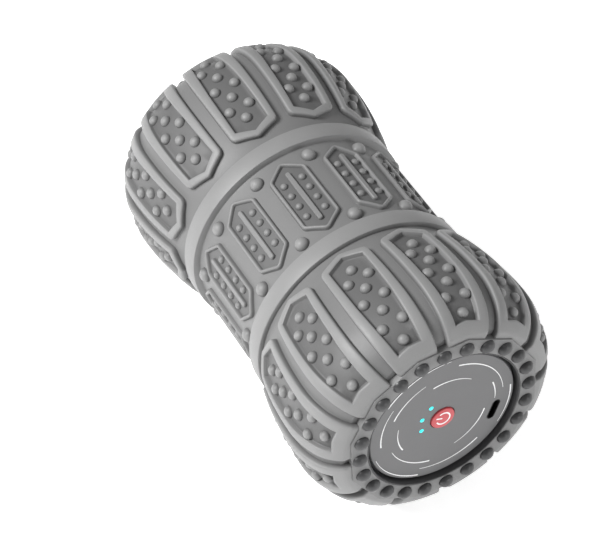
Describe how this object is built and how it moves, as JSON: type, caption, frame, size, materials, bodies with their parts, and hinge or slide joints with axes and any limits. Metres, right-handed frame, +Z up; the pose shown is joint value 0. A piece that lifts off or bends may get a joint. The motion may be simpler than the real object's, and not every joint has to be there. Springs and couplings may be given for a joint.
{
  "type": "vibrating massage roller",
  "caption": "Peanut-shaped vibrating massage roller: studded silicone sleeve over a hard core, with a motor, eccentric weights, cells and a press button on one end.",
  "frame": {"origin": "centre of the roller on its axis, half way between the end rings", "axes": "+Y runs along the roller's axis from the control end to the plain end, +Z is up with the roller lying on its side, and the control panel faces -Y"},
  "size_m": [0.1, 0.173, 0.1],
  "materials": {
    "grey_silicone": "matt moulded silicone rubber",
    "black_abs": "moulded",
    "grey_abs": "satin moulded",
    "dark_nylon": "moulded",
    "black_rubber": "moulded",
    "red_abs": "satin moulded",
    "black_nylon": "moulded",
    "lamp_package": "moulded",
    "clear_acrylic": "polished",
    "green_laminate": "solder-masked",
    "zinc_steel": "zinc plated",
    "stainless_steel": "drawn",
    "sintered_bronze": "sintered",
    "ferrite": "sintered",
    "copper": "drawn",
    "carbon": "pressed",
    "cast_iron": "as cast",
    "black_steel": "blackened",
    "die_cast_aluminium": "die cast",
    "cell_wrap": "shrink wrapped",
    "nickel": "rolled",
    "red_wire": "extruded",
    "white_wire": "extruded"
  },
  "bodies": {
    "housing": {"silicone_sleeve": "grey_silicone", "front_end_ring": "grey_silicone", "rear_end_ring": "grey_silicone", "front_stud_ring": "dark_nylon", "rear_stud_ring": "dark_nylon", "core_shell_upper": "black_abs", "core_shell_lower": "black_abs", "core_screws": "zinc_steel", "rear_cover": "grey_abs", "control_panel": "grey_abs", "panel_seal": "black_rubber", "cover_seal": "black_rubber", "switch_body": "black_nylon", "status_lamps": "lamp_package", "lamp_lenses": "clear_acrylic", "control_board": "green_laminate", "board_screws": "zinc_steel", "board_chips": "black_nylon", "port_shell": "stainless_steel", "port_tongue": "black_nylon", "motor_can": "zinc_steel", "motor_end_bell": "black_nylon", "motor_bushes": "sintered_bronze", "motor_magnets": "ferrite", "motor_brushes": "carbon", "motor_isolators": "black_rubber", "motor_clamp_upper": "die_cast_aluminium", "motor_clamp_lower": "die_cast_aluminium", "clamp_screws": "zinc_steel", "battery_cells": "cell_wrap", "battery_cradle": "black_abs", "cell_strips": "nickel", "battery_wires": "red_wire", "motor_wires": "white_wire"},
    "rotor": {"motor_shaft": "stainless_steel", "armature_core": "zinc_steel", "armature_windings": "copper", "commutator": "copper", "front_weight": "cast_iron", "rear_weight": "cast_iron", "weight_screws": "black_steel"},
    "button": {"power_button": "red_abs", "switch_plunger": "black_nylon"}
  },
  "joints": [
    {"name": "button_press", "type": "slide", "parent": "housing", "child": "button", "axis": [0, 1, 0], "range_m": [0, 0.0005], "stiffness_N_per_m": 3000, "springref_m": -0.0003},
    {"name": "rotor_spin", "type": "hinge", "parent": "housing", "child": "rotor", "pos_m": [0, 0, 0], "axis": [0, 1, 0], "continuous": true}
  ]
}
